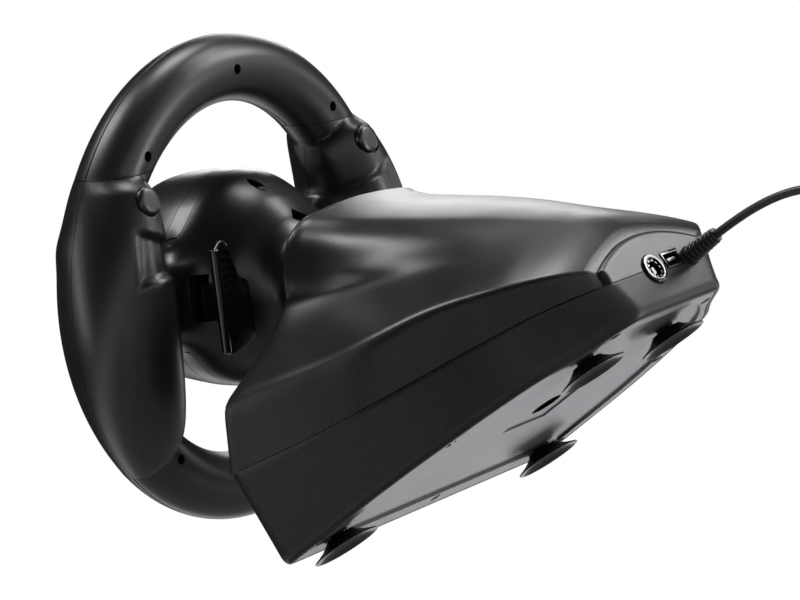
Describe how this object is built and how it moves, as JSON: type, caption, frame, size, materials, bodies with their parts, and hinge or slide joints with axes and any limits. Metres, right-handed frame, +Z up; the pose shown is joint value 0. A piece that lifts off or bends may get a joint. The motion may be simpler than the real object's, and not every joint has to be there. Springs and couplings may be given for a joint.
{
  "type": "racing wheel",
  "caption": "Desktop game steering wheel on a sloping suction-cup base, with grips, paddles, thumb buttons and a cable at the rear.",
  "frame": {"origin": "on the desk under the middle of the wheel and base together, cable left out", "axes": "+Z up, +Y from the driver towards the rear of the base, +X to the driver's right"},
  "size_m": [0.2704, 0.4934, 0.2901],
  "materials": {
    "satin_shell": "satin, fine grain",
    "grained_shell": "satin, coarse grain",
    "gloss_plastic": "gloss",
    "underside_plastic": "satin",
    "cup_vinyl": "semi-gloss",
    "plated_steel": "plated",
    "nylon": "moulded",
    "circuit_board": "solder mask",
    "cable_sheath": "satin"
  },
  "bodies": {
    "base": {"base_upper_shell": "satin_shell", "base_lower_shell": "grained_shell", "bottom_plate": "underside_plastic", "suction_cup_front_right": "cup_vinyl", "suction_cup_front_left": "cup_vinyl", "suction_cup_rear_right": "cup_vinyl", "suction_cup_rear_left": "cup_vinyl", "plate_screw_1": "plated_steel", "plate_screw_2": "plated_steel", "plate_screw_3": "plated_steel", "plate_screw_4": "plated_steel", "plate_screw_5": "plated_steel", "plate_screw_6": "plated_steel", "plate_screw_7": "plated_steel", "pedal_socket": "gloss_plastic", "shifter_socket": "gloss_plastic", "cable_boot": "cable_sheath", "usb_cable": "cable_sheath", "cable_coil": "cable_sheath", "coil_tie": "cup_vinyl", "usb_plug_body": "gloss_plastic", "usb_plug_shell": "plated_steel", "main_board": "circuit_board", "column_bracket": "nylon", "front_bushing": "plated_steel", "rear_bushing": "plated_steel", "centring_spring": "plated_steel", "steering_sensor": "nylon"},
    "steering_wheel": {"steering_shaft": "plated_steel", "shaft_gear": "nylon", "hub_front_cover": "satin_shell", "hub_back_cover": "satin_shell", "hub_trim_top": "gloss_plastic", "hub_trim_bottom": "gloss_plastic", "rim_top_front": "satin_shell", "rim_top_back": "satin_shell", "rim_bottom_front": "satin_shell", "rim_bottom_back": "satin_shell", "right_grip_front": "satin_shell", "right_grip_back": "satin_shell", "left_grip_front": "satin_shell", "left_grip_back": "satin_shell", "wheel_board": "circuit_board", "right_rumble_motor": "plated_steel", "left_rumble_motor": "plated_steel"},
    "sensor_gear": {"sensor_gear": "nylon"},
    "right_rumble_weight": {"right_rumble_weight": "plated_steel"},
    "left_rumble_weight": {"left_rumble_weight": "plated_steel"},
    "right_paddle": {"right_paddle": "gloss_plastic"},
    "left_paddle": {"left_paddle": "gloss_plastic"},
    "right_back_button": {"right_back_button": "gloss_plastic"},
    "left_back_button": {"left_back_button": "gloss_plastic"},
    "d_pad": {"d_pad": "gloss_plastic"},
    "action_button_top": {"action_button_top": "gloss_plastic"},
    "action_button_bottom": {"action_button_bottom": "gloss_plastic"},
    "action_button_left": {"action_button_left": "gloss_plastic"},
    "action_button_right": {"action_button_right": "gloss_plastic"},
    "menu_button_left": {"menu_button_left": "gloss_plastic"},
    "menu_button_right": {"menu_button_right": "gloss_plastic"},
    "mode_button": {"mode_button": "gloss_plastic"}
  },
  "joints": [
    {"name": "steering", "type": "hinge", "parent": "base", "child": "steering_wheel", "pos_m": [0, -0.0787, 0.1759], "axis": [0, 0.8231, -0.5678], "range_deg": [-135, 135], "stiffness_Nm_per_rad": 0.35},
    {"name": "sensor_gear_turn", "type": "hinge", "parent": "base", "child": "sensor_gear", "pos_m": [0, 0.03247, 0.05], "axis": [0, 0.8231, -0.5678], "range_deg": [-135, 135]},
    {"name": "right_rumble_spin", "type": "hinge", "parent": "steering_wheel", "child": "right_rumble_weight", "pos_m": [0.1034, -0.07673, 0.14089], "axis": [0, 0.8231, -0.5678], "continuous": true},
    {"name": "right_paddle_pull", "type": "hinge", "parent": "steering_wheel", "child": "right_paddle", "pos_m": [0.046, -0.05894, 0.16227], "axis": [0, -0.5678, -0.8231], "range_deg": [0, 6], "stiffness_Nm_per_rad": 0.4, "springref_deg": -5.73},
    {"name": "right_back_button_press", "type": "slide", "parent": "steering_wheel", "child": "right_back_button", "axis": [0, -0.9558, 0.294], "range_m": [0, 0.0015], "stiffness_N_per_m": 500, "springref_m": -0.001},
    {"name": "left_rumble_spin", "type": "hinge", "parent": "steering_wheel", "child": "left_rumble_weight", "pos_m": [-0.1034, -0.07673, 0.14089], "axis": [0, 0.8231, -0.5678], "continuous": true},
    {"name": "left_paddle_pull", "type": "hinge", "parent": "steering_wheel", "child": "left_paddle", "pos_m": [-0.046, -0.05894, 0.16227], "axis": [0, 0.5678, 0.8231], "range_deg": [0, 6], "stiffness_Nm_per_rad": 0.4, "springref_deg": -5.73},
    {"name": "left_back_button_press", "type": "slide", "parent": "steering_wheel", "child": "left_back_button", "axis": [0, -0.9558, 0.294], "range_m": [0, 0.0015], "stiffness_N_per_m": 500, "springref_m": -0.001},
    {"name": "d_pad_rock", "type": "hinge", "parent": "steering_wheel", "child": "d_pad", "pos_m": [-0.019, -0.11758, 0.20758], "axis": [1, 0, 0], "range_deg": [-4, 4], "stiffness_Nm_per_rad": 0.06},
    {"name": "action_button_top_press", "type": "slide", "parent": "steering_wheel", "child": "action_button_top", "axis": [0, 0.8231, -0.5678], "range_m": [0, 0.0012], "stiffness_N_per_m": 450, "springref_m": -0.001},
    {"name": "action_button_bottom_press", "type": "slide", "parent": "steering_wheel", "child": "action_button_bottom", "axis": [0, 0.8231, -0.5678], "range_m": [0, 0.0012], "stiffness_N_per_m": 450, "springref_m": -0.001},
    {"name": "action_button_left_press", "type": "slide", "parent": "steering_wheel", "child": "action_button_left", "axis": [0, 0.8231, -0.5678], "range_m": [0, 0.0012], "stiffness_N_per_m": 450, "springref_m": -0.001},
    {"name": "action_button_right_press", "type": "slide", "parent": "steering_wheel", "child": "action_button_right", "axis": [0, 0.8231, -0.5678], "range_m": [0, 0.0012], "stiffness_N_per_m": 450, "springref_m": -0.001},
    {"name": "menu_button_left_press", "type": "slide", "parent": "steering_wheel", "child": "menu_button_left", "axis": [0, 0.8231, -0.5678], "range_m": [0, 0.0012], "stiffness_N_per_m": 450, "springref_m": -0.001},
    {"name": "menu_button_right_press", "type": "slide", "parent": "steering_wheel", "child": "menu_button_right", "axis": [0, 0.8231, -0.5678], "range_m": [0, 0.0012], "stiffness_N_per_m": 450, "springref_m": -0.001},
    {"name": "mode_button_press", "type": "slide", "parent": "steering_wheel", "child": "mode_button", "axis": [0, 0.8231, -0.5678], "range_m": [0, 0.0012], "stiffness_N_per_m": 450, "springref_m": -0.001}
  ],
  "couplings": [
    {"joint": "sensor_gear_turn", "follows": "steering", "ratio": -1}
  ]
}
